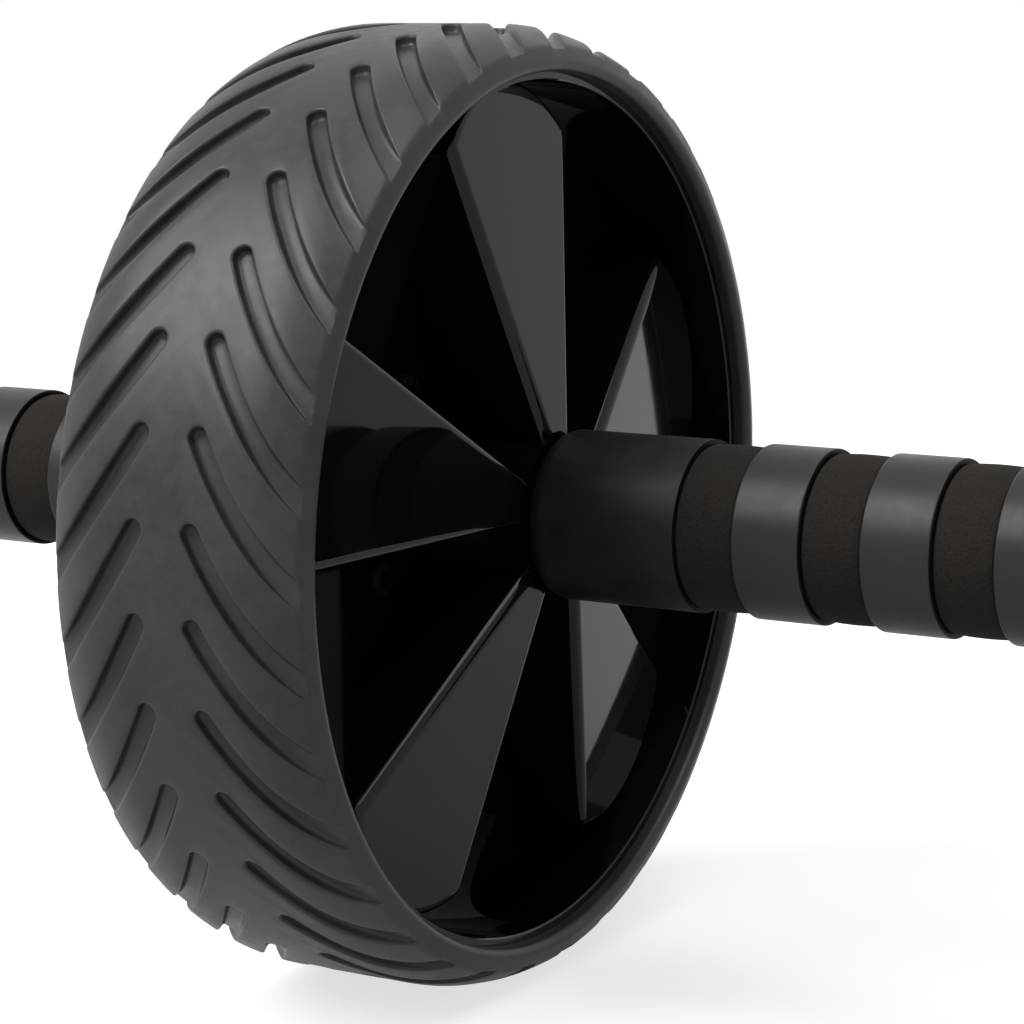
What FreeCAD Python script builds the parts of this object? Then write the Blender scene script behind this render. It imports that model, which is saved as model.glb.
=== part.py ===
import FreeCAD, Part
import math
import os

# Ab wheel roller: a wide rubber tyre on a two-part plastic hub that turns on a steel axle, with a
# long grip of foam rings and smooth bands on each side of the wheel.
# Millimetres. X is the rolling direction, Y runs along the axle to the left, Z is up.
# The origin is the middle of the wheel.

Vector = FreeCAD.Vector
ORIGIN = Vector(0, 0, 0)
LEFT = Vector(0, 1, 0)
UP = Vector(0, 0, 1)

# Tyre
tyre_diameter = 185.0
tyre_height = 8.9
running_width = 24.0
crown_radius = 24.0
crown_turn = 32.0
shoulder_round = 2.2
sidewall_turn = 68.5
lip_round = 1.6
lip_thickness = 1.7
lip_overlap = 2.0

# Tread: two mirrored rows of curved grooves beside a smooth centre rib
groove_count = 35
groove_first_angle = 1.1
groove_width = 3.7
groove_depth = 2.0
groove_floor_width = 16.0
centre_rib_width = 8.3
groove_angle_at_rib = 60.0
groove_angle_at_shoulder = 44.0

# Hub halves, which meet at the middle plane
barrel_wall = 3.6
barrel_chamfer = 0.3
pocket_floor = 2.4
spoke_count = 5
spoke_first_angle = 92.7
spoke_half_angle = 17.2
spoke_face_at_axle = 29.6
spoke_face_at_barrel = 15.7
spoke_plate = 2.4
spoke_wall = 2.2
spoke_end_round = 27.0
spoke_end_bite = 0.3
spoke_corner_radius = 3.0
spoke_edge_round = 2.2
boss_diameter = 30.0

# Screws that hold the hub halves together, one in each pocket
hub_screw_circle = 60.0
hub_screw_diameter = 3.5
hub_screw_head_diameter = 7.0
hub_screw_head_height = 2.6
hub_screw_head_round = 0.9
hub_screw_length = 12.0
hub_screw_socket = 3.0
hub_screw_socket_depth = 1.7
screw_post_wall = 2.6
screw_post_end = 1.6

# Axle, bushes and what keeps the wheel in the middle of it
axle_diameter = 12.0
axle_chamfer = 0.8
bush_wall = 3.0
bush_length = 20.0
bush_flange_diameter = 24.0
bush_flange = 1.5
bush_flange_recess = 1.7
boss_length = 26.9
thrust_washer_diameter = 23.0
thrust_washer = 1.2
retaining_ring_diameter = 19.0
retaining_ring = 1.2
retaining_ring_gap = 6.0
retaining_groove_depth = 0.6

# Handles, measured outwards from the wheel
core_diameter = 24.0
grip_diameter = 32.5
collar_length = 31.5
collar_round = 3.8
foam_diameter = 31.1
foam_width = 11.6
band_width = 13.5
band_round = 0.5
ring_count = 4
end_cap_diameter = 32.0
end_cap = 5.2
end_cap_round = 3.0
end_cap_spigot = 3.4

# Screw and washer that hold a handle on the axle's end
end_screw_diameter = 6.0
end_screw_length = 16.0
end_screw_head_diameter = 10.5
end_screw_head_height = 3.3
end_screw_head_round = 1.1
end_screw_socket = 4.0
end_screw_socket_depth = 2.2
end_washer_diameter = 15.4
end_washer = 1.5
end_recess_diameter = 16.0
tapped_hole_spare = 3.0
axle_end_setback = 1.0

# Clearances
running_clearance = 0.05
axial_play = 0.2
seat_gap = 0.05
collar_to_boss = 0.5
end_cap_clearance = 0.5

# Places worked out from the sizes above
tyre_radius = tyre_diameter / 2
lip_radius = tyre_radius - tyre_height
crown_end = math.radians(crown_turn)
sidewall = math.radians(sidewall_turn)
crown_centre_y = running_width / 2
crown_centre_r = tyre_radius - crown_radius
shoulder_centre_y = crown_centre_y + (crown_radius - shoulder_round) * math.sin(crown_end)
shoulder_centre_r = crown_centre_r + (crown_radius - shoulder_round) * math.cos(crown_end)
lip_centre_r = lip_radius + lip_round
sidewall_fall = shoulder_centre_r - lip_centre_r + (shoulder_round - lip_round) * math.cos(sidewall)
lip_centre_y = (shoulder_centre_y + (shoulder_round - lip_round) * math.sin(sidewall)
                + sidewall_fall / math.tan(sidewall))
half_width = lip_centre_y + lip_round

barrel_outer = lip_radius + lip_overlap
barrel_inner = barrel_outer - barrel_wall
barrel_half_width = lip_centre_y - lip_thickness
boss_radius = boss_diameter / 2
spoke_reach = barrel_inner + spoke_end_bite

axle_radius = axle_diameter / 2
bush_bore = axle_radius + running_clearance
bush_outer = bush_bore + bush_wall
flange_start = boss_length - bush_flange_recess
flange_end = flange_start + bush_flange
washer_start = flange_end + axial_play
ring_start = washer_start + thrust_washer
core_start = ring_start + retaining_ring

grip_radius = grip_diameter / 2
sleeve_bore = core_diameter / 2 + seat_gap
collar_start = boss_length + collar_to_boss
collar_end = collar_start + collar_length
ring_pitch = foam_width + band_width
core_end = collar_end + ring_count * ring_pitch
half_length = core_end + end_cap
screw_head_top = core_end - end_cap_spigot - end_cap_clearance
screw_seat = screw_head_top - end_screw_head_height
recess_floor = screw_seat - end_washer
axle_half_length = recess_floor - axle_end_setback


def rod(radius, start, end):
    """Solid cylinder on the axle line."""
    return Part.makeCylinder(radius, end - start, Vector(0, start, 0), LEFT)


def tube(outer_radius, inner_radius, start, end):
    """Ring or sleeve on the axle line."""
    return rod(outer_radius, start, end).cut(rod(inner_radius, start, end))


def rims(shape, radius, *places):
    """Circular edges of one radius at the given places along the axle."""
    found = []
    for edge in shape.Edges:
        curve = edge.Curve
        if isinstance(curve, Part.Circle) and abs(curve.Radius - radius) < 1e-6:
            if any(abs(curve.Center.y - place) < 1e-6 for place in places):
                found.append(edge)
    return found


def around_axle(shape, angle):
    """Copy turned about the axle, counted from +X towards +Z."""
    turned = shape.copy()
    turned.rotate(ORIGIN, -LEFT, angle)
    return turned


def right_hand(shape):
    """Mirror image for the right side of the wheel."""
    return shape.mirror(ORIGIN, LEFT)


def hex_socket(across_flats, start, end):
    """Hexagonal drive recess on the axle line."""
    corner = across_flats / math.sqrt(3)
    points = []
    for step in range(7):
        angle = math.radians(60 * step)
        points.append(Vector(corner * math.cos(angle), start, corner * math.sin(angle)))
    return Part.Face(Part.makePolygon(points)).extrude(LEFT * (end - start))


def section_point(along, radius):
    """Point of a revolved section, in the plane through the axle and +Z."""
    return Vector(0, along, radius)


def polar(radius, angle):
    """Point or direction in the plane across the axle, with the angle in radians."""
    return Vector(radius * math.cos(angle), 0, radius * math.sin(angle))


def arc(first, middle, last):
    return Part.Arc(first, middle, last).toShape()


def line(first, last):
    return Part.LineSegment(first, last).toShape()


def revolved(edges):
    """Solid made by turning a closed section about the axle."""
    face = Part.Face(Part.Wire(Part.__sortEdges__(edges)))
    return face.revolve(ORIGIN, LEFT, 360)


def on_crown(angle):
    """Point on the curved part of the crown, with the angle counted from straight out."""
    along = crown_centre_y + crown_radius * math.sin(angle)
    return section_point(along, crown_centre_r + crown_radius * math.cos(angle))


def on_shoulder(angle):
    """Point on the small round between crown and sidewall."""
    along = shoulder_centre_y + shoulder_round * math.sin(angle)
    return section_point(along, shoulder_centre_r + shoulder_round * math.cos(angle))


def on_lip(angle):
    """Point on the small round at the inner edge of the sidewall."""
    return section_point(lip_centre_y + lip_round * math.sin(angle), lip_centre_r + lip_round * math.cos(angle))


def bent_edge(place, first, last):
    """Arc of a section between two angles of one of the rounds."""
    return arc(place(first), place((first + last) / 2), place(last))


def mirrored_section(edges):
    """Both halves of a section that is the same on the left and the right."""
    return edges + [right_hand(edge) for edge in edges]


def tyre_blank():
    """Tyre without grooves: crown, shoulders, sidewalls and lips that grip the barrel's ends."""
    bore = barrel_outer + seat_gap
    lip_inside = barrel_half_width + seat_gap
    running_face = line(section_point(0, tyre_radius), on_crown(0))
    crown = bent_edge(on_crown, 0, crown_end)
    shoulder = bent_edge(on_shoulder, crown_end, sidewall)
    side = line(on_shoulder(sidewall), on_lip(sidewall))
    lip = bent_edge(on_lip, sidewall, math.pi)
    lip_bottom = line(on_lip(math.pi), section_point(lip_inside, lip_radius))
    lip_back = line(section_point(lip_inside, lip_radius), section_point(lip_inside, bore))
    seat = line(section_point(lip_inside, bore), section_point(0, bore))
    return revolved(mirrored_section([running_face, crown, shoulder, side, lip, lip_bottom, lip_back, seat]))


def groove_floor():
    """Solid below the groove floors, which rise to the surface at the top of the sidewalls."""
    half = groove_floor_width / 2
    top = tyre_radius - groove_depth
    end = on_shoulder(sidewall)
    reach = end.y - half
    fall = top - end.z
    bend = (reach ** 2 + fall ** 2) / (2 * fall)

    def on_floor(angle):
        return section_point(half + bend * math.sin(angle), top - bend + bend * math.cos(angle))

    last = math.asin((half_width - half) / bend)
    flat = line(section_point(0, top), on_floor(0))
    side = line(on_floor(last), section_point(half_width, 0))
    base = line(section_point(half_width, 0), section_point(0, 0))
    return revolved(mirrored_section([flat, bent_edge(on_floor, 0, last), side, base]))


def groove_cutter(floor):
    """One left-hand groove, its rib end at angle zero, bending towards the shoulder."""
    first = math.radians(groove_angle_at_rib)
    last = math.radians(groove_angle_at_shoulder)
    start_y = centre_rib_width / 2 + groove_width / 2
    axial_reach = half_width + groove_width - start_y
    bend = axial_reach / (math.sin(first) - math.sin(last))
    sweep = bend * (math.cos(last) - math.cos(first))
    plane = tyre_radius + groove_depth
    cutter_depth = tyre_radius / 4

    def place(angle, side):
        radius = bend + side * groove_width / 2
        along = start_y + bend * math.sin(first) - radius * math.sin(angle)
        around = radius * math.cos(angle) - bend * math.cos(first)
        return Vector(sweep / 2 - around, along, plane)

    def rib_end(turn):
        centre = place(first, 0)
        direction = first + turn
        return centre + Vector(-math.cos(direction), -math.sin(direction), 0) * (groove_width / 2)

    middle = (first + last) / 2
    outer = arc(place(first, 1), place(middle, 1), place(last, 1))
    inner = arc(place(first, -1), place(middle, -1), place(last, -1))
    round_end = arc(place(first, -1), rib_end(math.pi / 2), place(first, 1))
    open_end = line(place(last, 1), place(last, -1))
    outline = Part.Wire(Part.__sortEdges__([outer, open_end, inner, round_end]))
    block = Part.Face(outline).extrude(-UP * cutter_depth)
    half_sweep_angle = math.degrees(sweep / 2 / tyre_radius)
    return around_axle(block.cut(floor), half_sweep_angle - 90)


def tyre():
    left_groove = groove_cutter(groove_floor())
    cutters = []
    for count in range(groove_count):
        groove = around_axle(left_groove, groove_first_angle + count * 360 / groove_count)
        cutters.append(groove)
        cutters.append(right_hand(groove))
    return tyre_blank().cut(cutters)


def spoke_outline(inset):
    """Plan of a spoke about +X: two straight sides, a round end and rounded corners."""
    side_angle = math.radians(spoke_half_angle)
    end_centre = spoke_reach - spoke_end_round
    along = end_centre * math.cos(side_angle)
    beside = end_centre * math.sin(side_angle) - spoke_corner_radius
    side_length = along + math.sqrt((spoke_end_round - spoke_corner_radius) ** 2 - beside ** 2)
    tip = polar(inset / math.sin(side_angle), 0)
    apex = polar(spoke_reach - inset, 0)

    edges = []
    round_starts = []
    for side in (1, -1):
        direction = side * side_angle
        outward = direction + side * math.pi / 2
        corner_centre = polar(side_length, direction) - polar(spoke_corner_radius, outward)
        end_angle = math.atan2(corner_centre.z, corner_centre.x - end_centre)
        on_side = corner_centre + polar(spoke_corner_radius - inset, outward)
        on_corner = corner_centre + polar(spoke_corner_radius - inset, (outward + end_angle) / 2)
        on_end = corner_centre + polar(spoke_corner_radius - inset, end_angle)
        edges.append(line(tip, on_side))
        edges.append(arc(on_side, on_corner, on_end))
        round_starts.append(on_end)
    edges.append(arc(round_starts[0], apex, round_starts[1]))
    return Part.Face(Part.Wire(Part.__sortEdges__(edges)))


def face_height(distance):
    """Height of a spoke's flat front face above the middle plane, along the spoke."""
    fall = (spoke_face_at_axle - spoke_face_at_barrel) / barrel_inner
    return spoke_face_at_axle - fall * distance


def spoke_block(inset, drop, bottom):
    """Spoke filled to the sloping plane that lies the given drop under its front face."""
    prism = spoke_outline(inset).extrude(LEFT * (spoke_face_at_axle - bottom))
    prism.translate(LEFT * bottom)
    far = spoke_reach + spoke_wall
    corners = [Vector(0, bottom, -far), Vector(0, face_height(0) - drop, -far),
               Vector(far, face_height(far) - drop, -far), Vector(far, bottom, -far),
               Vector(0, bottom, -far)]
    wedge = Part.Face(Part.makePolygon(corners)).extrude(UP * (2 * far))
    return prism.common(wedge)


def front_edges(spoke):
    """Edges round a spoke's front face that show inside the barrel."""
    found = []
    for edge in spoke.Edges:
        points = [edge.valueAt(edge.FirstParameter), edge.valueAt(edge.LastParameter)]
        on_face = all(abs(point.y - face_height(point.x)) < 1e-4 for point in points)
        middle = edge.valueAt((edge.FirstParameter + edge.LastParameter) / 2)
        distance = math.hypot(middle.x, middle.z)
        if on_face and boss_radius < distance < barrel_inner:
            found.append(edge)
    return found


def hub_shell():
    """Left half of the hub: barrel, pocket floors, five hollow spokes and a flat-ended bush boss."""
    barrel = tube(barrel_outer, barrel_inner, 0, barrel_half_width)
    barrel = barrel.makeChamfer(barrel_chamfer, rims(barrel, barrel_inner, barrel_half_width))
    boss = rod(boss_radius, 0, boss_length)
    shell = barrel.fuse([rod(barrel_outer - barrel_wall / 2, 0, pocket_floor), boss])

    spoke = spoke_block(0, 0, 0).cut(rod(boss_radius - spoke_wall, 0, spoke_face_at_axle))
    spoke = spoke.makeFillet(spoke_edge_round, front_edges(spoke))
    hollow = spoke_block(spoke_wall, spoke_plate, -pocket_floor)
    hollow = hollow.cut(rod(boss_radius, -pocket_floor, boss_length))
    angles = [spoke_first_angle + 360 / spoke_count * count for count in range(spoke_count)]
    shell = shell.fuse([around_axle(spoke, angle) for angle in angles])
    shell = shell.cut([around_axle(hollow, angle) for angle in angles])
    flat_seat = rod(boss_radius + spoke_wall, boss_length, spoke_face_at_axle)
    flange_seat = rod(bush_flange_diameter / 2 + seat_gap, flange_start, boss_length)
    bush_hole = rod(bush_outer + seat_gap, 0, boss_length)
    return shell.cut([flat_seat, flange_seat, bush_hole]).removeSplitter()


def at_hub_screws(shape):
    """Copies of a shape on the axle line, moved to the middle of each pocket."""
    moved = shape.copy()
    moved.translate(Vector(hub_screw_circle / 2, 0, 0))
    step = 360 / spoke_count
    first = spoke_first_angle + step / 2
    return [around_axle(moved, first + step * count) for count in range(spoke_count)]


def hub_half_right():
    """Half with plain holes for the screws."""
    hole = rod(hub_screw_diameter / 2 + seat_gap, -pocket_floor, 0)
    return right_hand(hub_shell()).cut(at_hub_screws(hole))


def hub_half_left():
    """Half with a hollow post on each pocket floor for a screw to cut its thread in."""
    reach = hub_screw_length - pocket_floor
    pilot_radius = hub_screw_diameter / 2 + seat_gap
    post = rod(pilot_radius + screw_post_wall, 0, reach + screw_post_end)
    pilot = rod(pilot_radius, 0, reach)
    return hub_shell().fuse(at_hub_screws(post)).cut(at_hub_screws(pilot)).removeSplitter()


def hub_screws():
    """Screws with their heads on the right half's pocket floors."""
    shank = rod(hub_screw_diameter / 2, pocket_floor - hub_screw_length, pocket_floor)
    head_top = pocket_floor + hub_screw_head_height
    head = rod(hub_screw_head_diameter / 2, pocket_floor, head_top)
    head = head.makeFillet(hub_screw_head_round, rims(head, hub_screw_head_diameter / 2, head_top))
    screw = shank.fuse(head).removeSplitter()
    screw = screw.cut(hex_socket(hub_screw_socket, head_top - hub_screw_socket_depth, head_top))
    return Part.makeCompound(at_hub_screws(right_hand(screw)))


def bush():
    """Flanged bush, pressed into a hub half from outside with its flange sunk in the boss."""
    sleeve = rod(bush_outer, flange_start - bush_length, flange_start)
    flange = rod(bush_flange_diameter / 2, flange_start, flange_end)
    body = sleeve.fuse(flange).removeSplitter()
    return body.cut(rod(bush_bore, flange_start - bush_length, flange_end))


def axle():
    """Steel rod with a groove for each retaining ring and a tapped hole in each end."""
    bar = rod(axle_radius, -axle_half_length, axle_half_length)
    bar = bar.makeChamfer(axle_chamfer, rims(bar, axle_radius, -axle_half_length, axle_half_length))
    groove = tube(axle_diameter, axle_radius - retaining_groove_depth, ring_start, core_start)
    hole_depth = screw_seat - end_screw_length - tapped_hole_spare
    hole = rod(end_screw_diameter / 2 + seat_gap, hole_depth, axle_half_length)
    cuts = [groove, hole]
    return bar.cut(cuts + [right_hand(cut) for cut in cuts])


def thrust_washer_piece():
    return tube(thrust_washer_diameter / 2, axle_radius + seat_gap, washer_start, ring_start)


def retaining_ring_piece():
    """Open ring that snaps into the axle's groove."""
    ring_bore = axle_radius - retaining_groove_depth + seat_gap
    ring = tube(retaining_ring_diameter / 2, ring_bore, ring_start, core_start)
    corner = Vector(-retaining_ring_gap / 2, ring_start, 0)
    opening = Part.makeBox(retaining_ring_gap, retaining_ring, retaining_ring_diameter, corner)
    return ring.cut(opening)


def handle_core():
    """Stiff tube over the axle that carries the rings of the grip."""
    core = tube(core_diameter / 2, axle_radius + seat_gap, core_start, core_end)
    return core.cut(rod(end_recess_diameter / 2, recess_floor, core_end))


def collar():
    """Smooth sleeve next to the wheel, which also covers the washer and the retaining ring."""
    sleeve = tube(grip_radius, sleeve_bore, collar_start, collar_end)
    return sleeve.makeFillet(collar_round, rims(sleeve, grip_radius, collar_start))


def foam_ring(place):
    start = collar_end + place * ring_pitch
    return tube(foam_diameter / 2, sleeve_bore, start, start + foam_width)


def grip_band(place):
    start = collar_end + place * ring_pitch + foam_width
    end = start + band_width
    band = tube(grip_radius, sleeve_bore, start, end)
    return band.makeFillet(band_round, rims(band, grip_radius, start, end))


def end_cap_piece():
    """Rounded cap with a spigot that plugs the recess in the handle core."""
    disc = rod(end_cap_diameter / 2, core_end, half_length)
    disc = disc.makeFillet(end_cap_round, rims(disc, end_cap_diameter / 2, half_length))
    spigot = rod(end_recess_diameter / 2 - seat_gap, core_end - end_cap_spigot, core_end)
    return disc.fuse(spigot).removeSplitter()


def end_screw():
    shank = rod(end_screw_diameter / 2, screw_seat - end_screw_length, screw_seat)
    head = rod(end_screw_head_diameter / 2, screw_seat, screw_head_top)
    head = head.makeFillet(end_screw_head_round, rims(head, end_screw_head_diameter / 2, screw_head_top))
    screw = shank.fuse(head).removeSplitter()
    socket_floor = screw_head_top - end_screw_socket_depth
    return screw.cut(hex_socket(end_screw_socket, socket_floor, screw_head_top))


def end_washer_piece():
    return tube(end_washer_diameter / 2, end_screw_diameter / 2 + seat_gap, recess_floor, screw_seat)


def both_sides(name, piece):
    """A left piece and its mirror image, under the names they have on the bench."""
    return {name + "_left": piece, name + "_right": right_hand(piece)}


def pieces():
    made = {"tyre": tyre(), "hub_half_left": hub_half_left(), "hub_half_right": hub_half_right(),
            "hub_screws": hub_screws(), "axle": axle()}
    made.update(both_sides("bush", bush()))
    made.update(both_sides("thrust_washer", thrust_washer_piece()))
    made.update(both_sides("retaining_ring", retaining_ring_piece()))
    made.update(both_sides("handle_core", handle_core()))
    made.update(both_sides("collar", collar()))
    for place in range(ring_count):
        for name, piece in both_sides("foam_ring", foam_ring(place)).items():
            made[name + "_" + str(place + 1)] = piece
        for name, piece in both_sides("grip_band", grip_band(place)).items():
            made[name + "_" + str(place + 1)] = piece
    made.update(both_sides("end_cap", end_cap_piece()))
    made.update(both_sides("end_screw", end_screw()))
    made.update(both_sides("end_washer", end_washer_piece()))
    return made


def main():
    os.makedirs("parts", exist_ok=True)
    for name, shape in pieces().items():
        shape.exportStep("parts/" + name + ".step")
        print(name, len(shape.Solids), shape.isValid(), round(shape.Volume, 1))


main()
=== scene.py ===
"""Ab wheel roller: soft-edged tyre, foam rings, finishes and a studio stage round the CAD roller."""

import math

import bmesh
import bpy
from mathutils import Matrix, Vector


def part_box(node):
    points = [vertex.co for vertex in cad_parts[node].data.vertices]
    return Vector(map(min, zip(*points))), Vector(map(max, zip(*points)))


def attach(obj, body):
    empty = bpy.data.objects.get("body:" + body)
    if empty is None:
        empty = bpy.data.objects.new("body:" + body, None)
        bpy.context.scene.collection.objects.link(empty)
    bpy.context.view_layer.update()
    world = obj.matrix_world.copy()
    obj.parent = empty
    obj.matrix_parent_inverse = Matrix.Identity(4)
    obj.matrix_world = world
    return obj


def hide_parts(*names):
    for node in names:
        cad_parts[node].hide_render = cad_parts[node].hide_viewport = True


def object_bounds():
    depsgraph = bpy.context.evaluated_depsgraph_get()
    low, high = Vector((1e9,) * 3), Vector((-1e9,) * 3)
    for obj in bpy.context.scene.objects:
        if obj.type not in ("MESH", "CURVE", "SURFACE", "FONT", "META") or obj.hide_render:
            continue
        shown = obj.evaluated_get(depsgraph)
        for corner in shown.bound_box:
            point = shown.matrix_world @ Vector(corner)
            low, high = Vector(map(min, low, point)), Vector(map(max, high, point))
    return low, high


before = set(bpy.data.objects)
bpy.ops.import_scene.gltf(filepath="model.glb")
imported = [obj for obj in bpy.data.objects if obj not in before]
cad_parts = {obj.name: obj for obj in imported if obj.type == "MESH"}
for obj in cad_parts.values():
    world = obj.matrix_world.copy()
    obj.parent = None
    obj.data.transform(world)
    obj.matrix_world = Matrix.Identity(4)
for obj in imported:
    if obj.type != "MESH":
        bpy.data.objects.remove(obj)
CAD_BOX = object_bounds()

bl_info = {
    "name": "Ab wheel roller",
    "version": (1, 0, 0),
    "blender": (4, 5, 0),
    "location": "View3D > Sidebar > Roller",
    "description": "Dresses the CAD roller: tread, foam rings, finishes and a photo stage",
    "category": "Object",
}

SIDES = ("left", "right")
RING_COUNT = 4
MM = 0.001
TINY = 0.01 * MM
# Points closer than these are one: within a sector of the tread, and where turned copies meet.
SEAM_MERGE = 0.002 * MM
TURN_MERGE = 0.005 * MM
# Edges sharper than this stay sharp.
SMOOTH_ANGLE = math.radians(50)


def length_prop(name, description, default):
    """A length in metres for the sidebar."""
    return bpy.props.FloatProperty(name=name, description=description, default=default, unit="LENGTH")


def count_prop(name, description, default):
    return bpy.props.IntProperty(name=name, description=description, default=default, min=1)


def angle_prop(name, description, degrees):
    return bpy.props.FloatProperty(name=name, description=description, default=math.radians(degrees),
                                   unit="ROTATION")


def share_prop(name, description, default):
    return bpy.props.FloatProperty(name=name, description=description, default=default,
                                   min=0.0, max=1.0, subtype="FACTOR")


def colour_prop(name, description, default):
    return bpy.props.FloatVectorProperty(name=name, description=description, default=default,
                                         size=3, min=0.0, max=1.0, subtype="COLOR")


def power_prop(name, description, default):
    return bpy.props.FloatProperty(name=name, description=description, default=default, unit="POWER")


class TyreSettings(bpy.types.PropertyGroup):
    """Section of the tyre and the shape of its grooves."""
    radius: length_prop("Radius", "Running face to the axle's middle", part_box("tyre")[1].z)
    running_half: length_prop("Running face", "Half width of the flat running face", 12.0 * MM)
    crown_radius: length_prop("Crown radius", "Curve beside the running face", 24.0 * MM)
    crown_turn: angle_prop("Crown turn", "Slope of the crown where it meets the shoulder", 32.0)
    shoulder_round: length_prop("Shoulder round", "Round between crown and sidewall", 2.2 * MM)
    sidewall_turn: angle_prop("Sidewall turn", "Slope of the sidewall", 68.5)
    lip_radius: length_prop("Lip radius", "Inner edge of the sidewall to the axle's middle", 83.6 * MM)
    lip_round: length_prop("Lip round", "Round at the inner edge of the sidewall", 1.6 * MM)
    lip_inside: length_prop("Lip inside", "Inner face of a lip to the tyre's middle", 23.251 * MM)
    bore: length_prop("Bore", "Seat on the barrel to the axle's middle", 85.65 * MM)
    groove_count: count_prop("Grooves", "Grooves in each row", 35)
    groove_width: length_prop("Groove width", "Across a groove, between its walls", 3.7 * MM)
    groove_depth: length_prop("Groove depth", "Running face to the groove's floor", 2.0 * MM)
    floor_half: length_prop("Floor", "Half width of the level part of the groove floors", 8.0 * MM)
    rib_width: length_prop("Centre rib", "Smooth rib between the two rows of grooves", 8.3 * MM)
    first_angle: angle_prop("First angle", "Turn of the first groove about the axle", 1.1)
    angle_at_rib: angle_prop("Angle at the rib", "Groove against the axle at the rib", 60.0)
    angle_at_shoulder: angle_prop("Angle at the shoulder", "Groove against the axle at its end", 44.0)
    edge_round: length_prop("Edge round", "Round along the top of a groove's walls", 0.6 * MM)


class FoamSettings(bpy.types.PropertyGroup):
    """Shape of the foam rings of the grips."""
    crown: length_prop("Crown", "How far a ring's middle stands above its edges", 0.25 * MM)
    edge_round: length_prop("Edge round", "Round at a ring's edges", 0.6 * MM)
    edge_steps: count_prop("Edge steps", "Faces over a ring's rounded edge", 3)
    crown_cuts: count_prop("Crown cuts", "Cuts across a ring's crown", 9)
    turn_steps: count_prop("Turn steps", "Faces round a ring", 96)


class FinishSettings(bpy.types.PropertyGroup):
    """Colours of the roller's materials."""
    tyre_light: colour_prop("Tyre, light", "Rubber where it is worn and dusty", (0.039, 0.0377, 0.036))
    tyre_dark: colour_prop("Tyre, dark", "Rubber where it is clean", (0.022, 0.0215, 0.0207))
    hub: colour_prop("Hub", "Gloss plastic of the hub halves", (0.0035, 0.0035, 0.0037))
    collar: colour_prop("Collar", "Smooth sleeve next to the wheel", (0.0075, 0.0072, 0.0069))
    band: colour_prop("Band", "Smooth bands of the grip", (0.0205, 0.0201, 0.0197))
    foam_light: colour_prop("Foam, light", "Cell walls of the foam", (0.0185, 0.0152, 0.0128))
    # Dark foam colour: the foam's own speckle with painted shade in the pits of its cells, and also the
    # painted shade on the end faces of collars and bands.
    dark_foam_and_shade: colour_prop("Foam, dark", "Open cells of the foam", (0.0085, 0.0068, 0.0056))
    cap: colour_prop("Cap", "End caps of the grips", (0.03, 0.03, 0.03))
    steel: colour_prop("Steel", "Axle and washers", (0.56, 0.55, 0.53))
    black_steel: colour_prop("Black steel", "Screws and retaining rings", (0.004, 0.004, 0.0043))
    nylon: colour_prop("Nylon", "Bushes", (0.012, 0.012, 0.0125))


class StageSettings(bpy.types.PropertyGroup):
    """Camera, lamps and floor."""
    azimuth: angle_prop("Azimuth", "Camera's turn round the upright, 0 looks along +Y", -60.239)
    elevation: angle_prop("Elevation", "Camera's height above the horizon", 8.657)
    roll: angle_prop("Roll", "Camera's turn about its own line of sight", 0.234)
    distance: length_prop("Distance", "Camera to the wheel's middle, along the view", 613.1 * MM)
    slide: length_prop("Slide", "Camera's place to the right", 14.045 * MM)
    lift: length_prop("Lift", "Camera's place upwards", -1.887 * MM)
    lens_mm: bpy.props.FloatProperty(name="Lens", description="Focal length in millimetres",
                                     default=110.3, subtype="DISTANCE_CAMERA")
    floor: colour_prop("Floor", "Pale studio floor", (0.55, 0.55, 0.55))
    floor_size: length_prop("Floor size", "Half the floor's width", 0.8)
    floor_glow: share_prop("Floor glow", "Lift of the floor's look towards white near the roller", 0.7)
    floor_mirrored: share_prop("Floor in reflections", "Share of the floor's glow in reflections", 0.55)
    shadow_start: length_prop("Shadow start", "Distance at which the floor begins to fade to white", 0.2)
    shadow_end: length_prop("Shadow end", "Distance from which the floor is white", 0.55)
    sky: bpy.props.FloatProperty(name="Sky", description="Strength of the even light", default=0.25)
    key_watts: power_prop("Key", "Large warm lamp at the upper left", 22.0)
    key_colour: colour_prop("Key colour", "Warm tint of the key lamp", (1.0, 0.955, 0.91))
    top_watts: power_prop("Top", "Lamp over the right side", 5.0)
    side_watts: power_prop("Side", "Low lamp at the left", 0.7)


def socket(group, name, kind, way, default=None):
    """Adds an input or an output to a node group."""
    made = group.interface.new_socket(name=name, in_out=way, socket_type="NodeSocket" + kind)
    if default is not None:
        made.default_value = default


def noise(nodes, detail, rough):
    """A Noise Texture, whose place and scale are linked by its user."""
    node = nodes.new("ShaderNodeTexNoise")
    node.inputs["Detail"].default_value = detail
    node.inputs["Roughness"].default_value = rough
    return node


def math_node(nodes, links, operation, first, second):
    """A Math node fed by a socket and by a socket or a number."""
    node = nodes.new("ShaderNodeMath")
    node.operation = operation
    links.new(first, node.inputs[0])
    if isinstance(second, (int, float)):
        node.inputs[1].default_value = second
    else:
        links.new(second, node.inputs[1])
    return node.outputs[0]


def map_range(nodes, links, value, low, high, to_low, to_high):
    """A soft step of a socket from one range to another, whose limits are numbers or sockets."""
    node = nodes.new("ShaderNodeMapRange")
    node.interpolation_type = "SMOOTHSTEP"
    links.new(value, node.inputs["Value"])
    for name, number in (("From Min", low), ("From Max", high), ("To Min", to_low), ("To Max", to_high)):
        if isinstance(number, (int, float)):
            node.inputs[name].default_value = number
        else:
            links.new(number, node.inputs[name])
    return node.outputs["Result"]


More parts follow.
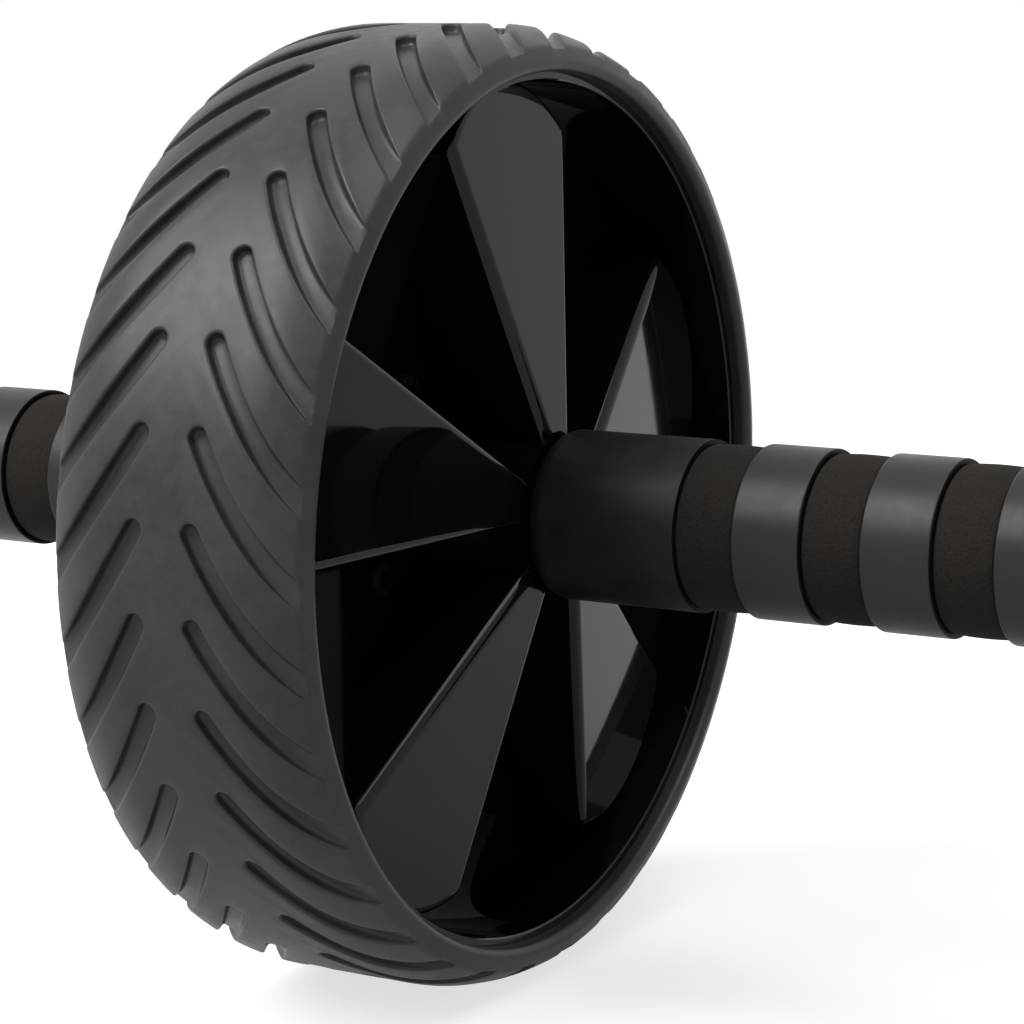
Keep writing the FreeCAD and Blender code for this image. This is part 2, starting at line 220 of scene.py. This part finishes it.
def mottle_group():
    """Cloudy unevenness of a moulded surface, from 0 to 1, in two sizes of patch."""
    group = bpy.data.node_groups.new("Mottle", "ShaderNodeTree")
    socket(group, "Vector", "Vector", "INPUT")
    socket(group, "Patch Scale", "Float", "INPUT", 40.0)
    socket(group, "Fine Share", "Float", "INPUT", 0.4)
    socket(group, "Mask", "Float", "OUTPUT")
    nodes = group.nodes
    links = group.links
    entry = nodes.new("NodeGroupInput")
    leave = nodes.new("NodeGroupOutput")
    coarse = noise(nodes, detail=4.0, rough=0.55)
    fine = noise(nodes, detail=6.0, rough=0.65)
    links.new(entry.outputs["Vector"], coarse.inputs["Vector"])
    links.new(entry.outputs["Vector"], fine.inputs["Vector"])
    links.new(entry.outputs["Patch Scale"], coarse.inputs["Scale"])
    fine_per_patch = 7.0
    fine_scale = math_node(nodes, links, "MULTIPLY", entry.outputs["Patch Scale"], fine_per_patch)
    links.new(fine_scale, fine.inputs["Scale"])
    blend = nodes.new("ShaderNodeMix")
    links.new(entry.outputs["Fine Share"], blend.inputs["Factor"])
    links.new(coarse.outputs["Fac"], blend.inputs["A"])
    links.new(fine.outputs["Fac"], blend.inputs["B"])
    mask = map_range(nodes, links, blend.outputs["Result"], low=0.32, high=0.68, to_low=0.0, to_high=1.0)
    links.new(mask, leave.inputs["Mask"])
    return group


def grain_group():
    """Fine skin of a moulded or rubber surface: a height for bump and a mask of its low places."""
    group = bpy.data.node_groups.new("Fine Grain", "ShaderNodeTree")
    socket(group, "Vector", "Vector", "INPUT")
    socket(group, "Scale", "Float", "INPUT", 1500.0)
    socket(group, "Pit Size", "Float", "INPUT", 0.35)
    socket(group, "Height", "Float", "OUTPUT")
    socket(group, "Pits", "Float", "OUTPUT")
    nodes = group.nodes
    links = group.links
    entry = nodes.new("NodeGroupInput")
    leave = nodes.new("NodeGroupOutput")
    cells = nodes.new("ShaderNodeTexVoronoi")
    cells.feature = "SMOOTH_F1"
    links.new(entry.outputs["Vector"], cells.inputs["Vector"])
    links.new(entry.outputs["Scale"], cells.inputs["Scale"])
    dust = noise(nodes, detail=5.0, rough=0.6)
    links.new(entry.outputs["Vector"], dust.inputs["Vector"])
    dust_per_cell = 0.6
    dust_scale = math_node(nodes, links, "MULTIPLY", entry.outputs["Scale"], dust_per_cell)
    links.new(dust_scale, dust.inputs["Scale"])
    height = math_node(nodes, links, "ADD", cells.outputs["Distance"], dust.outputs["Fac"])
    links.new(height, leave.inputs["Height"])
    pits = map_range(nodes, links, cells.outputs["Distance"], low=0.0, high=entry.outputs["Pit Size"],
                     to_low=1.0, to_high=0.0)
    links.new(pits, leave.inputs["Pits"])
    return group


def shared_group(name):
    """An effect that several materials use, built on its first use."""
    builders = {"Mottle": mottle_group, "Fine Grain": grain_group}
    return bpy.data.node_groups.get(name) or builders[name]()


class Finish:
    """A material with its Principled shader and Object coordinates, to which effects are added."""

    def __init__(self, name, colour, roughness):
        self.material = bpy.data.materials.new(name)
        self.material.use_nodes = True
        self.nodes = self.material.node_tree.nodes
        self.links = self.material.node_tree.links
        self.shader = self.nodes["Principled BSDF"]
        self.shader.inputs["Base Color"].default_value = (*colour, 1.0)
        self.shader.inputs["Roughness"].default_value = roughness
        self.coords = self.nodes.new("ShaderNodeTexCoord").outputs["Object"]

    def plain(self, **values):
        """Sets constant values on the shader's own sockets."""
        for name, value in values.items():
            self.shader.inputs[name.replace("_", " ")].default_value = value

    def effect(self, group_name, stretch=None, **values):
        """Places a shared effect with its own values."""
        node = self.nodes.new("ShaderNodeGroup")
        node.node_tree = shared_group(group_name)
        place = self.coords
        if stretch:
            mapping = self.nodes.new("ShaderNodeMapping")
            mapping.inputs["Scale"].default_value = stretch
            self.links.new(self.coords, mapping.inputs["Vector"])
            place = mapping.outputs["Vector"]
        self.links.new(place, node.inputs["Vector"])
        for name, value in values.items():
            node.inputs[name.replace("_", " ")].default_value = value
        return node.outputs

    def tint(self, mask, low, high):
        """Base colour that follows a mask from one colour to the other."""
        blend = self.nodes.new("ShaderNodeMix")
        blend.data_type = "RGBA"
        self.links.new(mask, blend.inputs["Factor"])
        blend.inputs["A"].default_value = (*low, 1.0)
        blend.inputs["B"].default_value = (*high, 1.0)
        self.links.new(blend.outputs["Result"], self.shader.inputs["Base Color"])

    def follow(self, name, mask, low, high):
        """One of the shader's values that follows a mask."""
        value = map_range(self.nodes, self.links, mask, low=0.0, high=1.0, to_low=low, to_high=high)
        self.links.new(value, self.shader.inputs[name])

    def roughen(self, mask, low, high):
        """Roughness that follows a mask."""
        self.follow("Roughness", mask, low, high)

    def end_faces(self, start, full):
        """Mask of the faces that look along the axle, from a start to a full turn towards it."""
        split = self.nodes.new("ShaderNodeSeparateXYZ")
        self.links.new(self.coords.node.outputs["Normal"], split.inputs["Vector"])
        along = split.outputs["Y"]
        square = math_node(self.nodes, self.links, "MULTIPLY", along, along)
        return map_range(self.nodes, self.links, square, low=math.sin(start) ** 2,
                         high=math.sin(full) ** 2, to_low=0.0, to_high=1.0)

    def bump(self, height, strength, distance):
        """Relief on the surface, on top of any relief that is there already."""
        node = self.nodes.new("ShaderNodeBump")
        node.inputs["Strength"].default_value = strength
        node.inputs["Distance"].default_value = distance
        self.links.new(height, node.inputs["Height"])
        before = self.shader.inputs["Normal"]
        if before.is_linked:
            self.links.new(before.links[0].from_socket, node.inputs["Normal"])
        self.links.new(node.outputs["Normal"], before)


def moulded_skin(name, colour, end_shade_colour, roughness, specular, low, high):
    """Smooth moulded surface, a little uneven in its gloss, with a fine grain, and painted shade on its end
    faces, which are darker in colour and lower in specular level.
    """
    skin = Finish(name, colour, roughness)
    # Painted shade: faces that look along the axle take the dark end-shade colour and a low specular level,
    # so the ends look shaded.
    sides = skin.end_faces(start=math.radians(22), full=math.radians(42))
    skin.tint(sides, colour, end_shade_colour)
    skin.follow("Specular IOR Level", sides, low=specular, high=0.03)
    clouds = skin.effect("Mottle", Patch_Scale=90.0, Fine_Share=0.4)
    skin.roughen(clouds["Mask"], low, high)
    grain = skin.effect("Fine Grain", Scale=2500.0)
    skin.bump(grain["Height"], strength=0.1, distance=0.03 * MM)
    return skin


def black_oxide(colours):
    """Thin black finish on small steel pieces, a little uneven in its gloss."""
    oxide = Finish("black oxide steel", colours.black_steel, roughness=0.4)
    oxide.plain(Specular_IOR_Level=0.05)
    patches = oxide.effect("Mottle", Patch_Scale=350.0, Fine_Share=0.5)
    oxide.roughen(patches["Mask"], low=0.55, high=0.7)
    return oxide


def dress(finish, *nodes):
    """Gives CAD nodes their material."""
    for name in nodes:
        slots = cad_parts[name].data.materials
        slots.clear()
        slots.append(finish.material)


def on_both_sides(*names):
    """Names of the left and right pieces."""
    return [name + "_" + side for name in names for side in SIDES]


def new_piece(name, bm, material):
    """Makes an object of a finished bmesh and links it to the scene."""
    mesh = bpy.data.meshes.new(name)
    bm.to_mesh(mesh)
    bm.free()
    mesh.shade_smooth()
    mesh.set_sharp_from_angle(angle=SMOOTH_ANGLE)
    mesh.materials.append(material)
    piece = bpy.data.objects.new(name, mesh)
    bpy.context.scene.collection.objects.link(piece)
    return piece


def outward(turn):
    """Direction at an angle from straight out, as a place along the axle and a radius."""
    return Vector((math.sin(turn), math.cos(turn)))


class TyreSection:
    """The tyre's section, unrolled: a distance from the crown's middle gives a place and a normal."""

    def __init__(self, tyre):
        self.tyre = tyre
        self.crown_centre = Vector((tyre.running_half, tyre.radius - tyre.crown_radius))
        self.shoulder_centre = (self.crown_centre
                                + (tyre.crown_radius - tyre.shoulder_round) * outward(tyre.crown_turn))
        self.sidewall_top = self.shoulder_centre + tyre.shoulder_round * outward(tyre.sidewall_turn)
        foot_radius = tyre.lip_radius + tyre.lip_round * (1 + math.cos(tyre.sidewall_turn))
        sidewall_length = (self.sidewall_top.y - foot_radius) / math.sin(tyre.sidewall_turn)
        self.downhill = outward(tyre.sidewall_turn + math.pi / 2)
        foot = self.sidewall_top + sidewall_length * self.downhill
        self.lip_centre = foot - tyre.lip_round * outward(tyre.sidewall_turn)
        self.half_width = self.lip_centre.x + tyre.lip_round

        self.crown_end = tyre.running_half + tyre.crown_radius * tyre.crown_turn
        self.shoulder_end = self.crown_end + tyre.shoulder_round * (tyre.sidewall_turn - tyre.crown_turn)
        self.lip_start = self.shoulder_end + sidewall_length
        self.lip_end = self.lip_start + tyre.lip_round * (math.pi - tyre.sidewall_turn)
        self.back_start = self.lip_end + self.lip_centre.x - tyre.lip_inside
        self.seat_start = self.back_start + tyre.bore - tyre.lip_radius
        self.seat_end = self.seat_start + tyre.lip_inside

        level = tyre.radius - tyre.groove_depth
        reach = self.sidewall_top.x - tyre.floor_half
        fall = level - self.sidewall_top.y
        self.floor_bend = (reach ** 2 + fall ** 2) / (2 * fall)
        self.floor_centre = Vector((tyre.floor_half, level - self.floor_bend))

    def place(self, distance):
        """Place along the axle and radius, and the normal's angle from straight out."""
        tyre = self.tyre
        if distance <= tyre.running_half:
            return Vector((distance, tyre.radius)), 0.0
        if distance <= self.crown_end:
            turn = (distance - tyre.running_half) / tyre.crown_radius
            return self.crown_centre + tyre.crown_radius * outward(turn), turn
        if distance <= self.shoulder_end:
            turn = tyre.crown_turn + (distance - self.crown_end) / tyre.shoulder_round
            return self.shoulder_centre + tyre.shoulder_round * outward(turn), turn
        if distance <= self.lip_start:
            return self.sidewall_top + (distance - self.shoulder_end) * self.downhill, tyre.sidewall_turn
        if distance <= self.lip_end:
            turn = tyre.sidewall_turn + (distance - self.lip_start) / tyre.lip_round
            return self.lip_centre + tyre.lip_round * outward(turn), turn
        if distance <= self.back_start:
            return Vector((self.lip_centre.x - (distance - self.lip_end), tyre.lip_radius)), math.pi
        if distance <= self.seat_start:
            return Vector((tyre.lip_inside, tyre.lip_radius + distance - self.back_start)), -math.pi / 2
        return Vector((tyre.lip_inside - (distance - self.seat_start), tyre.bore)), math.pi

    def depth_share(self, distance):
        """Share of the groove's depth at a place: its floor rises to the surface at the sidewall's top."""
        if distance <= self.tyre.floor_half:
            return 1.0
        if distance >= self.shoulder_end:
            return 0.0
        spot, turn = self.place(distance)
        from_centre = spot - self.floor_centre
        height = from_centre.dot(outward(turn))
        beside = from_centre.length_squared - height ** 2
        depth = height - math.sqrt(self.floor_bend ** 2 - beside)
        return max(0.0, depth / self.tyre.groove_depth)

    def wrap(self, co):
        """Place on the tyre of an unrolled point: round the tyre, across it and into it."""
        spot, turn = self.place(abs(co.y))
        spot = spot - co.z * self.depth_share(abs(co.y)) * outward(turn)
        angle = co.x / self.tyre.radius + self.tyre.first_angle
        return Vector((spot.y * math.cos(angle), math.copysign(spot.x, co.y), spot.y * math.sin(angle)))


class GrooveRow:
    """One sector of the tread with its groove, as chains of points from the sector's edge to the floor.

    The two profiles give places in edge rounds, as outset from the groove's wall with the depth below the
    surface for the edge, and with the height above the floor for the foot.
    """
    edge_profile = ((1.0, 0.0), (0.45, 0.10), (0.12, 0.40), (0.0, 1.0))
    foot_profile = ((-0.1, 1.2), (-0.5, 0.4), (-1.4, 0.0))
    crown_steps = 15
    shoulder_steps = 5
    sidewall_steps = 3
    end_steps = 10

    def __init__(self, tyre, section):
        self.tyre = tyre
        self.section = section
        self.first = tyre.angle_at_rib
        self.start = (tyre.rib_width + tyre.groove_width) / 2
        reach = section.half_width + tyre.groove_width - self.start
        self.bend = reach / (math.sin(self.first) - math.sin(tyre.angle_at_shoulder))
        self.pitch = 2 * math.pi * tyre.radius / tyre.groove_count

    def line(self, along):
        """Place round the tyre of the groove's middle line, and its angle against the axle."""
        past = along - self.start
        if past < 0:
            return past * math.tan(self.first), self.first
        angle = math.asin(math.sin(self.first) - past / self.bend)
        return self.bend * (math.cos(angle) - math.cos(self.first)), angle

    def edge_line(self, along):
        """Like line, but square to the crown's middle, for the sector's edges."""
        if along >= self.start:
            return self.line(along)[0]
        return -math.tan(self.first) * self.start / 2 * (1 - (along / self.start) ** 2)

    def stops(self, begin):
        """Distances of the points along a groove, close together over the shoulder's round."""
        section = self.section
        found = [begin]
        runs = ((section.crown_end, self.crown_steps), (section.shoulder_end, self.shoulder_steps),
                (section.lip_start, self.sidewall_steps))
        for end, steps in runs:
            low = found[-1]
            found += [low + (end - low) * step / steps for step in range(1, steps + 1)]
        return found

    def sector_edge(self):
        """The sector's edge, from one sidewall along the crown's middle and back."""
        half = self.pitch / 2
        sides = {}
        for side in (-1, 1):
            sides[side] = []
            for distance in self.stops(0.0):
                along = self.section.place(distance)[0].x
                sides[side].append(Vector((self.edge_line(along) + side * half, distance, 0)))
        low, high = sides[-1][0], sides[1][0]
        crown = [low.lerp(high, step / self.end_steps) for step in range(1, self.end_steps)]
        return sides[-1][::-1] + crown + sides[1]

    def outline(self, outset, depth):
        """The groove's outline, moved outwards by outset, from one sidewall round the rib end and back."""
        half = self.tyre.groove_width / 2 + outset
        sides = {}
        for side in (-1, 1):
            sides[side] = []
            begin = self.start - side * half * math.sin(self.first)
            for distance in self.stops(begin):
                middle, angle = self.line(self.section.place(distance)[0].x)
                sides[side].append(Vector((middle + side * half / math.cos(angle), distance, depth)))
        across = Vector((math.cos(self.first), -math.sin(self.first), 0))
        onward = Vector((math.sin(self.first), math.cos(self.first), 0))
        centre = Vector((0, self.start, depth))
        rib_end = []
        for step in range(1, self.end_steps):
            turn = math.pi * step / self.end_steps
            rib_end.append(centre - across * (half * math.cos(turn)) - onward * (half * math.sin(turn)))
        return sides[-1][::-1] + rib_end + sides[1]

    def chains(self):
        """Chains from the sector's edge, over the rounded edge and down the wall, to the floor's middle."""
        depth = self.tyre.groove_depth
        soft = self.tyre.edge_round
        half = self.tyre.groove_width / 2
        steps = [(outset * soft, sunk * soft) for outset, sunk in self.edge_profile]
        steps += [(outset * soft, depth - height * soft) for outset, height in self.foot_profile]
        steps.append((-half, depth))
        outlines = [self.outline(outset, sunk) for outset, sunk in steps]
        edge = self.sector_edge()
        between = [first.lerp(last, 0.5) for first, last in zip(edge, outlines[0])]
        return [edge, between] + outlines


def tyre_mesh(tyre):
    """One sector is laid out flat as a grid, wrapped round the tyre, mirrored and turned round the axle."""
    section = TyreSection(tyre)
    chains = GrooveRow(tyre, section).chains()
    columns = len(chains[0]) - 1
    rows = len(chains) - 1
    bm = bmesh.new()
    bmesh.ops.create_grid(bm, x_segments=columns, y_segments=rows, size=1.0)
    for vert in bm.verts:
        column = round((vert.co.x + 1) / 2 * columns)
        row = round((vert.co.y + 1) / 2 * rows)
        vert.co = chains[row][column]
    bmesh.ops.remove_doubles(bm, verts=bm.verts[:], dist=SEAM_MERGE)

    lip_steps = 6
    stops = [section.lip_start + (section.lip_end - section.lip_start) * step / lip_steps
             for step in range(1, lip_steps + 1)]
    stops += [section.back_start, section.seat_start, section.seat_end]
    rim = [edge for edge in bm.edges if all(vert.co.y > section.lip_start - TINY for vert in edge.verts)]
    for stop in stops:
        made = bmesh.ops.extrude_edge_only(bm, edges=rim)["geom"]
        rim = [item for item in made if isinstance(item, bmesh.types.BMEdge)]
        for item in made:
            if isinstance(item, bmesh.types.BMVert):
                item.co = (item.co.x, stop, 0)
    bmesh.ops.mirror(bm, geom=bm.verts[:] + bm.edges[:] + bm.faces[:], axis="Y", merge_dist=SEAM_MERGE)

    for vert in bm.verts:
        vert.co = section.wrap(vert.co)
    turn = 2 * math.pi * (tyre.groove_count - 1) / tyre.groove_count
    bmesh.ops.spin(bm, geom=bm.verts[:] + bm.edges[:] + bm.faces[:], cent=(0, 0, 0), axis=(0, -1, 0),
                   angle=turn, steps=tyre.groove_count - 1, use_duplicate=True)
    bmesh.ops.remove_doubles(bm, verts=bm.verts[:], dist=TURN_MERGE)
    bmesh.ops.recalc_face_normals(bm, faces=bm.faces[:])
    return bm


def foam_mesh(node, foam):
    """A crowned ring, turned from its section, in the place of a CAD foam ring."""
    seat_gap = 0.05 * MM
    low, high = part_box(node)
    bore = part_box("handle_core_left")[1].z + seat_gap
    edge = high.z - foam.crown
    bm = bmesh.new()
    bm.faces.new([bm.verts.new((0, along, radius)) for along, radius in
                  ((low.y, bore), (low.y, edge), (high.y, edge), (high.y, bore))])
    corners = [vert for vert in bm.verts if vert.co.z > bore + MM]
    bmesh.ops.bevel(bm, geom=corners, offset=foam.edge_round, segments=foam.edge_steps, profile=0.5,
                    affect="VERTICES", material=-1)
    top = max(bm.edges, key=lambda item: min(vert.co.z for vert in item.verts) + item.calc_length())
    bmesh.ops.subdivide_edges(bm, edges=[top], cuts=foam.crown_cuts)
    middle = (low.y + high.y) / 2
    half = (high.y - low.y) / 2
    for vert in bm.verts:
        if vert.co.z > edge - foam.edge_round - TINY:
            vert.co.z += foam.crown * (1 - ((vert.co.y - middle) / half) ** 2)
    bmesh.ops.delete(bm, geom=bm.faces[:], context="FACES_ONLY")
    bmesh.ops.spin(bm, geom=bm.verts[:] + bm.edges[:], cent=(0, 0, 0), axis=(0, 1, 0),
                   angle=2 * math.pi, steps=foam.turn_steps, use_merge=True)
    bmesh.ops.remove_doubles(bm, verts=bm.verts[:], dist=TURN_MERGE)
    bmesh.ops.recalc_face_normals(bm, faces=bm.faces[:])
    return bm


class ROLLER_OT_tyre(bpy.types.Operator):
    """Model the tyre with its two rows of soft-edged grooves and give it a satin rubber"""
    bl_idname = "roller.tyre"
    bl_label = "Tyre"

    def execute(self, context):
        colours = context.scene.roller_finish
        rubber = Finish("satin tyre rubber", colours.tyre_dark, roughness=0.55)
        rubber.plain(Specular_IOR_Level=0.27)
        clouds = rubber.effect("Mottle", Patch_Scale=55.0, Fine_Share=0.45)
        rubber.tint(clouds["Mask"], colours.tyre_dark, colours.tyre_light)
        rubber.roughen(clouds["Mask"], low=0.34, high=0.46)
        grain = rubber.effect("Fine Grain", Scale=1400.0)
        rubber.bump(grain["Height"], strength=0.25, distance=0.04 * MM)
        piece = new_piece("grooved_tyre", tyre_mesh(context.scene.roller_tyre), rubber.material)
        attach(piece, "wheel")
        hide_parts("tyre")
        return {"FINISHED"}


class ROLLER_OT_hub(bpy.types.Operator):
    """Give the hub its gloss plastic, and its screws and bushes their own finishes"""
    bl_idname = "roller.hub"
    bl_label = "Hub"

    def execute(self, context):
        colours = context.scene.roller_finish
        gloss = Finish("gloss black plastic", colours.hub, roughness=0.05)
        gloss.plain(Specular_IOR_Level=0.21)
        clouds = gloss.effect("Mottle", Patch_Scale=24.0, Fine_Share=0.2)
        gloss.roughen(clouds["Mask"], low=0.03, high=0.07)
        gloss.bump(clouds["Mask"], strength=0.04, distance=0.02 * MM)
        dress(gloss, *on_both_sides("hub_half"))

        nylon = Finish("bush nylon", colours.nylon, roughness=0.45)
        skin = nylon.effect("Mottle", Patch_Scale=160.0, Fine_Share=0.5)
        nylon.roughen(skin["Mask"], low=0.38, high=0.55)
        dress(nylon, *on_both_sides("bush"))
        dress(black_oxide(colours), "hub_screws", *on_both_sides("end_screw", "retaining_ring"))
        return {"FINISHED"}


class ROLLER_OT_foam(bpy.types.Operator):
    """Model the foam rings of both grips with their open cells, whose pits are darkened with painted shade
    """
    bl_idname = "roller.foam"
    bl_label = "Foam rings"

    def execute(self, context):
        colours = context.scene.roller_finish
        foam = Finish("open foam", colours.dark_foam_and_shade, roughness=0.85)
        foam.plain(Specular_IOR_Level=0.1)
        cells = foam.effect("Fine Grain", Scale=1900.0, Pit_Size=0.45)
        # The cells' pits are darker: the foam's own speckle with painted shade in its low places.
        foam.tint(cells["Pits"], colours.foam_light, colours.dark_foam_and_shade)
        foam.bump(cells["Height"], strength=0.7, distance=0.15 * MM)
        for side in SIDES:
            for ring in range(1, RING_COUNT + 1):
                node = "foam_ring_%s_%d" % (side, ring)
                piece = new_piece("soft_" + node, foam_mesh(node, context.scene.roller_foam), foam.material)
                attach(piece, "handle_bar")
                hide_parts(node)
        return {"FINISHED"}


class ROLLER_OT_handles(bpy.types.Operator):
    """Give collars, bands, end caps and the axle's pieces their finishes"""
    bl_idname = "roller.handles"
    bl_label = "Handles"

    def execute(self, context):
        colours = context.scene.roller_finish
        # Collars and bands get painted shade on their end faces, in the dark foam colour.
        collar = moulded_skin("smooth collar", colours.collar, colours.dark_foam_and_shade, roughness=0.42,
                              specular=0.24, low=0.38, high=0.5)
        dress(collar, *on_both_sides("collar"))

        band = moulded_skin("satin band", colours.band, colours.dark_foam_and_shade, roughness=0.33,
                            specular=0.22, low=0.33, high=0.42)
        bands = ["grip_band_%s_%d" % (side, ring) for side in SIDES for ring in range(1, RING_COUNT + 1)]
        dress(band, *bands)

        cap = Finish("satin cap", colours.cap, roughness=0.45)
        skin = cap.effect("Mottle", Patch_Scale=120.0, Fine_Share=0.4)
        cap.roughen(skin["Mask"], low=0.4, high=0.55)
        dress(cap, *on_both_sides("end_cap", "handle_core"))

        steel = Finish("turned steel", colours.steel, roughness=0.3)
        steel.plain(Metallic=1.0)
        rings = steel.effect("Mottle", stretch=(1.0, 40.0, 1.0), Patch_Scale=120.0, Fine_Share=0.5)
        steel.roughen(rings["Mask"], low=0.22, high=0.4)
        dress(steel, "axle", *on_both_sides("thrust_washer", "end_washer"))
        return {"FINISHED"}


def camera_matrix(stage):
    """The camera's place and turn from the photo's viewing angle."""
    azimuth = stage.azimuth
    elevation = stage.elevation
    back = Vector((math.sin(azimuth) * math.cos(elevation), -math.cos(azimuth) * math.cos(elevation),
                   math.sin(elevation)))
    right = Vector((math.cos(azimuth), math.sin(azimuth), 0))
    up = back.cross(right)
    place = back * stage.distance + right * stage.slide + up * stage.lift
    turned = Matrix.Rotation(stage.roll, 3, back)
    axes = Matrix((turned @ right, turned @ up, back)).transposed()
    return Matrix.Translation(place) @ axes.to_4x4()


def add_lamp(name, watts, width, height, toward, distance):
    """A large soft lamp that looks at the wheel from the given direction."""
    lamp = bpy.data.lights.new(name, "AREA")
    lamp.shape = "RECTANGLE"
    lamp.size = width
    lamp.size_y = height
    lamp.energy = watts
    holder = bpy.data.objects.new(name, lamp)
    bpy.context.scene.collection.objects.link(holder)
    direction = Vector(toward).normalized()
    holder.location = direction * distance
    holder.rotation_euler = direction.to_track_quat("Z", "Y").to_euler()
    return lamp


def seen_rays(nodes, links, mirrored):
    """1 for rays from the camera, a share for those in reflections and clear materials, else 0."""
    path = nodes.new("ShaderNodeLightPath")
    second = math_node(nodes, links, "MAXIMUM", path.outputs["Is Glossy Ray"],
                       path.outputs["Is Transmission Ray"])
    shown = math_node(nodes, links, "MULTIPLY", second, mirrored)
    return math_node(nodes, links, "MAXIMUM", path.outputs["Is Camera Ray"], shown)


def whiten(paper, stage):
    """Lifts the floor's look towards white, most of all away from the roller, and leaves its shadow."""
    paper.plain(Emission_Color=(1, 1, 1, 1))
    away = paper.nodes.new("ShaderNodeVectorMath")
    away.operation = "LENGTH"
    paper.links.new(paper.coords, away.inputs[0])
    lift = map_range(paper.nodes, paper.links, away.outputs["Value"], low=stage.shadow_start,
                     high=stage.shadow_end, to_low=stage.floor_glow, to_high=1.0)
    seen = seen_rays(paper.nodes, paper.links, stage.floor_mirrored)
    strength = math_node(paper.nodes, paper.links, "MULTIPLY", seen, lift)
    paper.links.new(strength, paper.shader.inputs["Emission Strength"])


def white_world(sky):
    """Even light, with a white background for the camera and for reflections."""
    world = bpy.data.worlds.new("studio")
    world.use_nodes = True
    nodes = world.node_tree.nodes
    links = world.node_tree.links
    background = nodes["Background"]
    background.inputs["Color"].default_value = (1, 1, 1, 1)
    strength = nodes.new("ShaderNodeMapRange")
    strength.inputs["To Min"].default_value = sky
    strength.inputs["To Max"].default_value = 1.0
    links.new(seen_rays(nodes, links, mirrored=1.0), strength.inputs["Value"])
    links.new(strength.outputs["Result"], background.inputs["Strength"])
    bpy.context.scene.world = world


class ROLLER_OT_stage(bpy.types.Operator):
    """Set up the floor, the soft studio light and the camera at the photo's angle"""
    bl_idname = "roller.stage"
    bl_label = "Stage"

    def execute(self, context):
        stage = context.scene.roller_stage
        bm = bmesh.new()
        bmesh.ops.create_grid(bm, x_segments=1, y_segments=1, size=stage.floor_size)
        bmesh.ops.translate(bm, verts=bm.verts[:], vec=(0, 0, CAD_BOX[0].z))
        paper = Finish("studio floor", stage.floor, roughness=0.9)
        paper.plain(Specular_IOR_Level=0.0)
        whiten(paper, stage)
        floor = new_piece("studio_floor", bm, paper.material)

        white_world(stage.sky)
        key = add_lamp("key", stage.key_watts, width=0.9, height=0.9, toward=(-0.56, 0.42, 0.71),
                       distance=1.4)
        key.color = stage.key_colour
        add_lamp("top", stage.top_watts, width=0.5, height=0.9, toward=(-0.1, -0.3, 1.0), distance=1.2)
        add_lamp("side", stage.side_watts, width=0.8, height=0.8, toward=(-0.5, 0.85, 0.15), distance=1.3)

        camera = bpy.data.cameras.new("photo camera")
        camera.lens = stage.lens_mm
        camera.sensor_width = 36.0
        camera.clip_start = 0.01
        holder = bpy.data.objects.new("photo camera", camera)
        context.scene.collection.objects.link(holder)
        holder.matrix_world = camera_matrix(stage)
        context.scene.camera = holder
        context.scene.view_settings.view_transform = "Standard"
        return {"FINISHED"}


class ROLLER_PT_sidebar(bpy.types.Panel):
    """Lists the steps and settings in the 3D view's sidebar"""
    bl_idname = "ROLLER_PT_sidebar"
    bl_label = "Ab wheel roller"
    bl_space_type = "VIEW_3D"
    bl_region_type = "UI"
    bl_category = "Roller"

    def draw(self, context):
        for step in STEPS:
            self.layout.operator(step.bl_idname)
        for holder in SETTINGS:
            box = self.layout.box()
            settings = getattr(context.scene, holder)
            for name in SETTINGS[holder].__annotations__:
                box.prop(settings, name)


STEPS = (ROLLER_OT_tyre, ROLLER_OT_hub, ROLLER_OT_foam, ROLLER_OT_handles, ROLLER_OT_stage)
SETTINGS = {"roller_tyre": TyreSettings, "roller_foam": FoamSettings,
            "roller_finish": FinishSettings, "roller_stage": StageSettings}


def register():
    for holder, settings in SETTINGS.items():
        bpy.utils.register_class(settings)
        setattr(bpy.types.Scene, holder, bpy.props.PointerProperty(type=settings))
    for step in STEPS:
        bpy.utils.register_class(step)
    bpy.utils.register_class(ROLLER_PT_sidebar)


def unregister():
    bpy.utils.unregister_class(ROLLER_PT_sidebar)
    for step in STEPS:
        bpy.utils.unregister_class(step)
    for holder, settings in SETTINGS.items():
        delattr(bpy.types.Scene, holder)
        bpy.utils.unregister_class(settings)


def main():
    register()
    bpy.ops.roller.tyre()
    bpy.ops.roller.hub()
    bpy.ops.roller.foam()
    bpy.ops.roller.handles()
    bpy.ops.roller.stage()
    bpy.context.view_layer.update()


if __name__ == "__main__":
    main()
